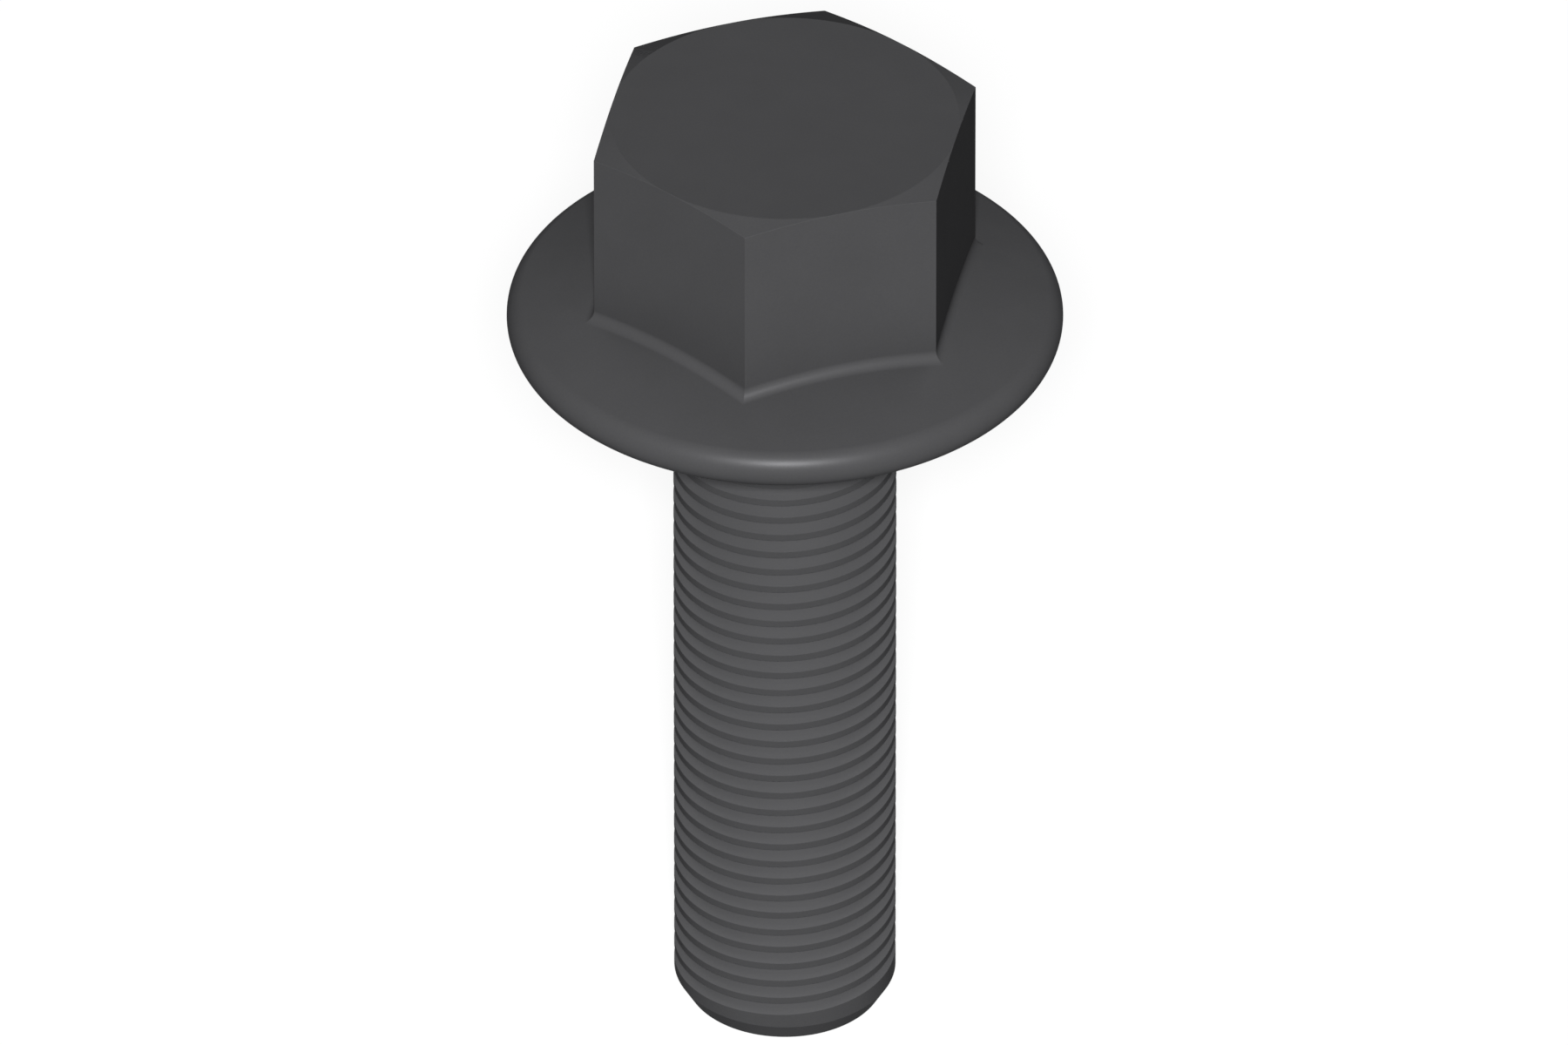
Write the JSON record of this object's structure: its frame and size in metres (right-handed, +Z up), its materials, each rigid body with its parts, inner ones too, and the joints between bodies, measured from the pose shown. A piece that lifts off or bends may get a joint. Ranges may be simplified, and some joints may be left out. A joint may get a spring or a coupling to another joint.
{
  "type": "flange bolt",
  "caption": "Hexagon bolt with a wide round flange under its head and a fine right-hand thread along its shank, for clamping parts without a separate washer.",
  "frame": {"origin": "centre of the flat face at the threaded end, on the axis", "axes": "+Z runs up the axis from the threaded end to the head; +X points at a corner of the hexagon and +Y at one of its flats"},
  "size_m": [0.0392, 0.0392, 0.075],
  "materials": {
    "blackened_steel": "steel with a satin black oxide finish"
  },
  "bodies": {
    "root": {"flange_bolt": "blackened_steel"}
  },
  "joints": []
}
